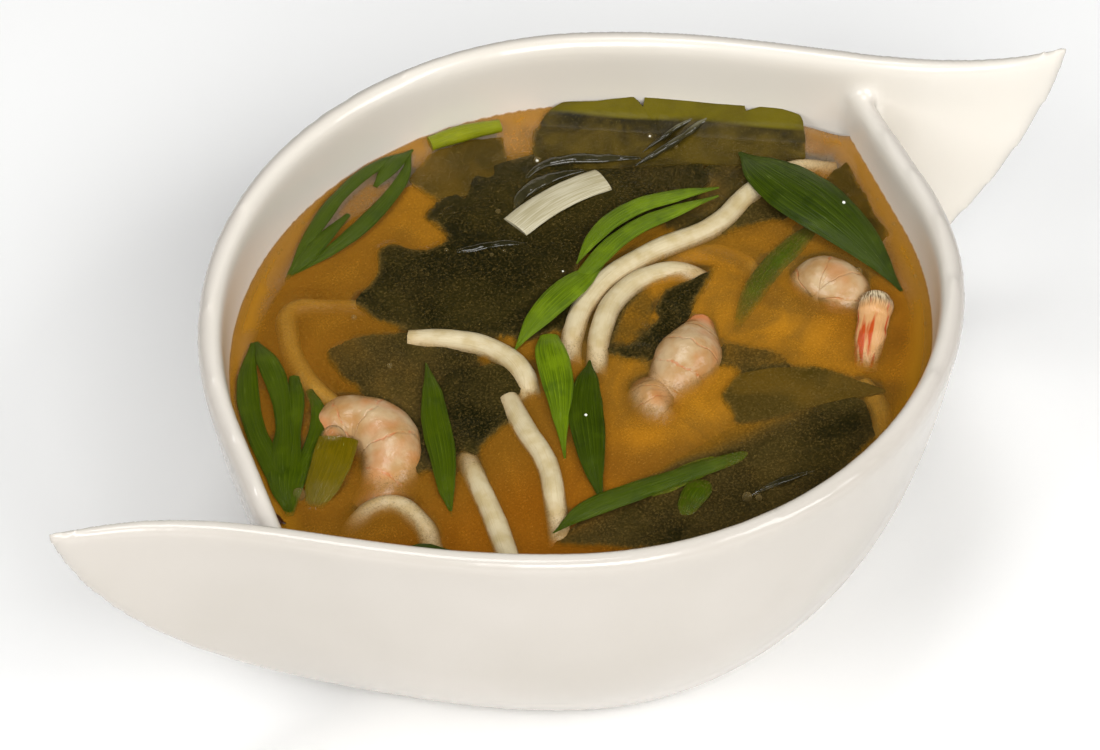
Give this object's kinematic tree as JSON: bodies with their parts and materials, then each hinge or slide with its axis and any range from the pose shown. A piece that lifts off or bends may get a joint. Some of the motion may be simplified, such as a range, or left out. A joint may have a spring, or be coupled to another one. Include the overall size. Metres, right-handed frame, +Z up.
{
  "type": "bowl of miso soup",
  "caption": "Two-winged white porcelain bowl filled with miso soup: cloudy amber broth with shrimps, thick noodles, green onion cuts, white leek and wakame at its surface.",
  "frame": {"origin": "middle of the base, at the surface that the bowl stands on", "axes": "+Z up, +X along the long axis towards one wing's tip, +Y across the bowl"},
  "size_m": [0.2202, 0.1322, 0.066],
  "materials": {
    "porcelain": "glossy warm white glaze",
    "broth": "cloudy amber liquid, glossy surface",
    "shrimp": "wet, pale pink with orange bands",
    "shrimp_tail": "wet, orange red",
    "noodle": "wet, creamy white",
    "leek": "wet, white with fine ribs",
    "green_onion": "wet, bright to deep green",
    "wakame": "wet, dark olive green"
  },
  "bodies": {
    "root": {"bowl": "porcelain", "broth": "broth", "leek_strip": "leek", "noodle_left": "noodle", "noodle_front": "noodle", "noodle_front_left": "noodle", "noodle_sunk_left": "noodle", "noodle_long": "noodle", "noodle_arch": "noodle", "onion_loop_back": "green_onion", "onion_tube_back": "green_onion", "onion_strip_middle": "green_onion", "onion_cut_middle": "green_onion", "onion_cut_front": "green_onion", "onion_cut_left": "green_onion", "onion_cut_right": "green_onion", "onion_loop_left": "green_onion", "onion_fold_left": "green_onion", "onion_strip_front": "green_onion", "onion_chip_front": "green_onion", "shrimp_left": "shrimp", "shrimp_middle": "shrimp", "shrimp_right": "shrimp", "shrimp_tail_right": "shrimp_tail", "wakame_back": "wakame", "wakame_centre": "wakame", "wakame_left": "wakame", "wakame_wavy": "wakame", "wakame_right": "wakame", "wakame_point": "wakame", "wakame_front": "wakame"}
  },
  "joints": []
}
